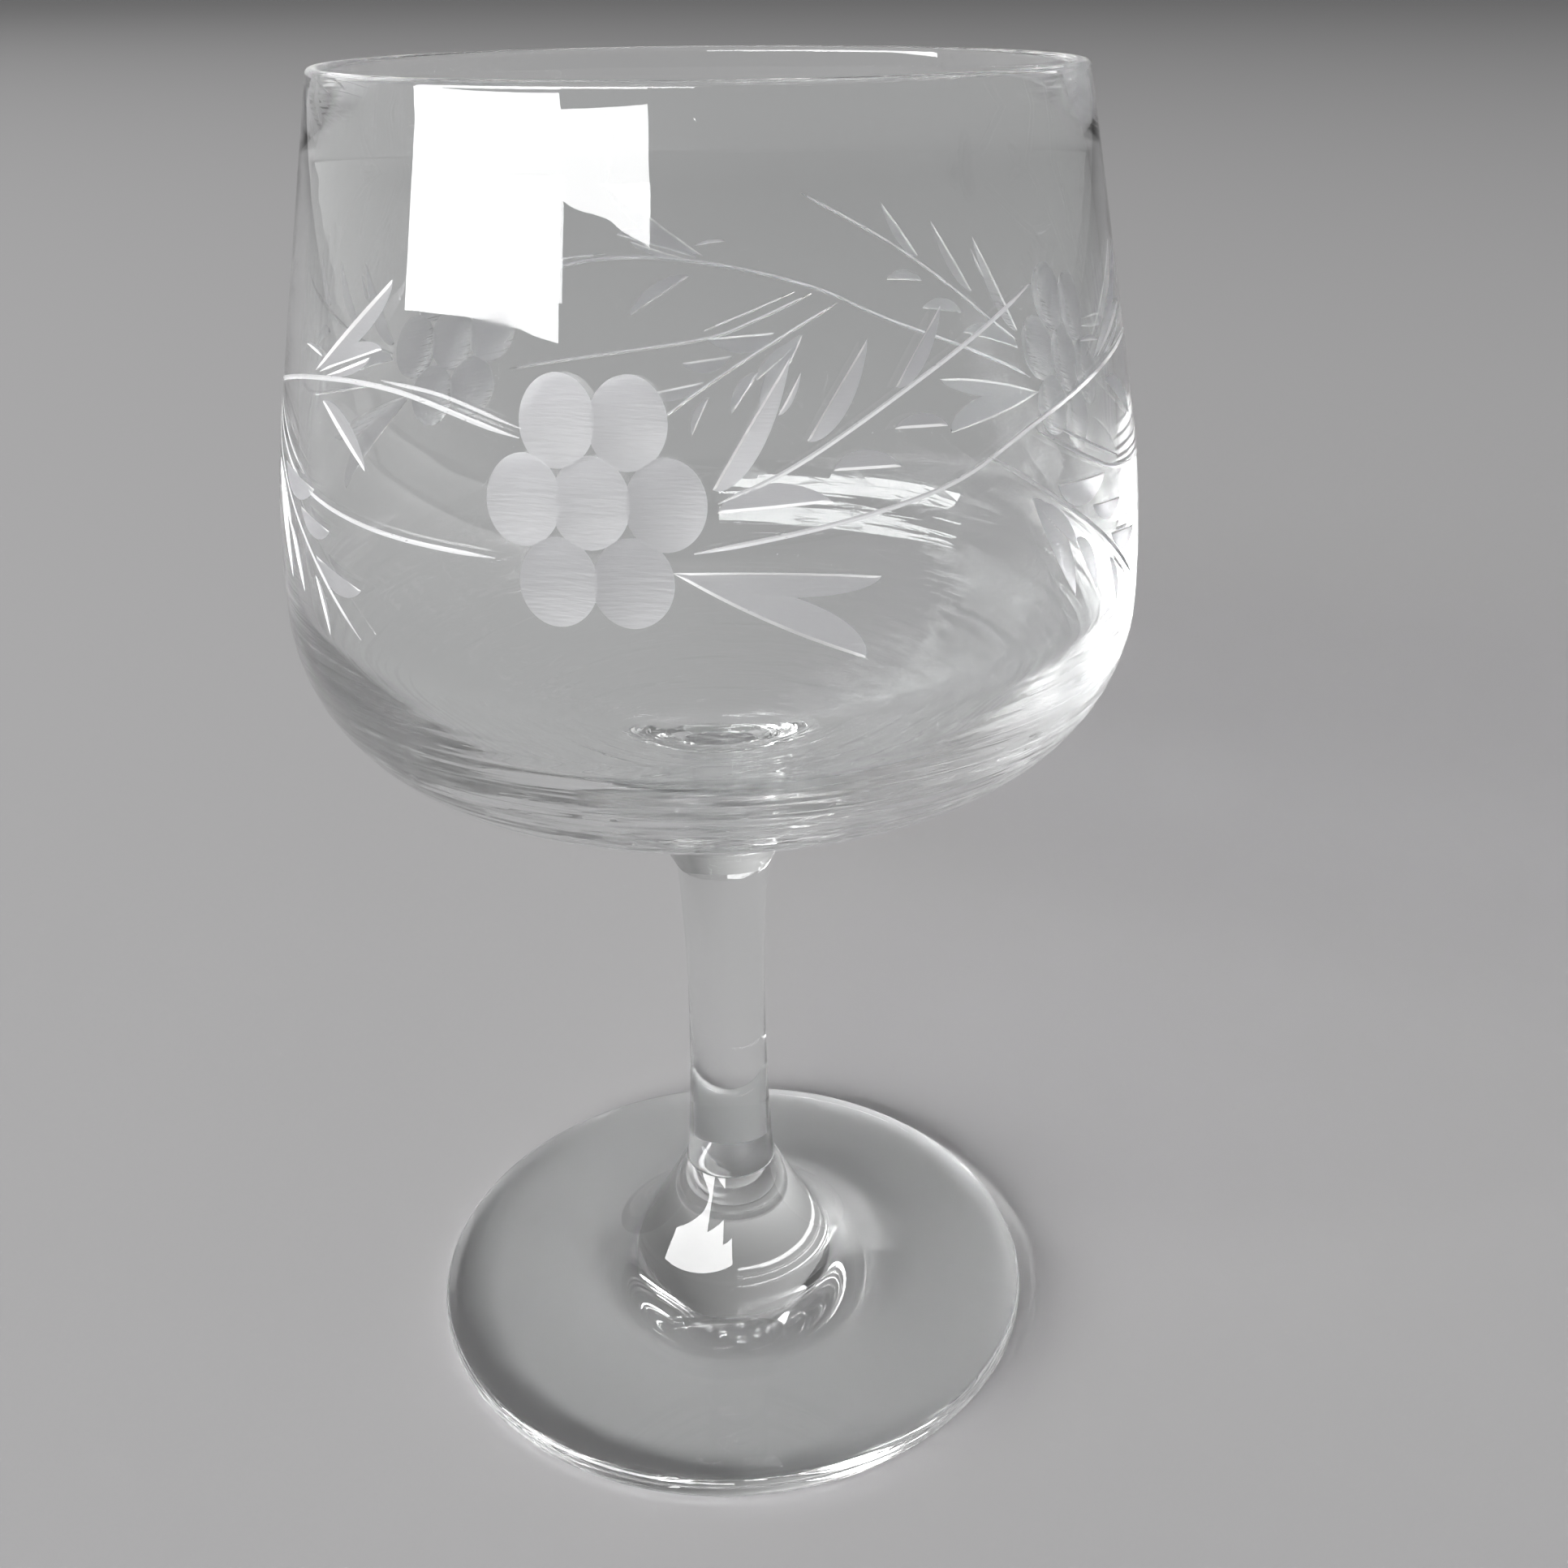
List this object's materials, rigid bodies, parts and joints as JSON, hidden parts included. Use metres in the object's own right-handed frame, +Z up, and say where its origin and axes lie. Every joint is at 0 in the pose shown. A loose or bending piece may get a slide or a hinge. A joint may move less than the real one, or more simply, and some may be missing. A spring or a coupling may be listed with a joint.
{
  "type": "wine glass",
  "caption": "Small stemmed wine glass: rounded cup on a short solid stem with a round foot, grapes and vine sprays cut round the cup.",
  "frame": {"origin": "centre of the ring under the foot, on the surface that the glass stands on", "axes": "+Z up along the glass's own axis, from the foot to the rim; +X to the right and +Y away from the viewer"},
  "size_m": [0.084, 0.084, 0.14],
  "materials": {
    "foot_glass": "clear, fire-polished, lightly worn underneath",
    "stem_glass": "clear, fire-polished",
    "bowl_glass": "clear, fire-polished, with matt wheel-cut grapes and leaves"
  },
  "bodies": {
    "root": {"foot": "foot_glass", "stem": "stem_glass", "bowl": "bowl_glass"}
  },
  "joints": []
}
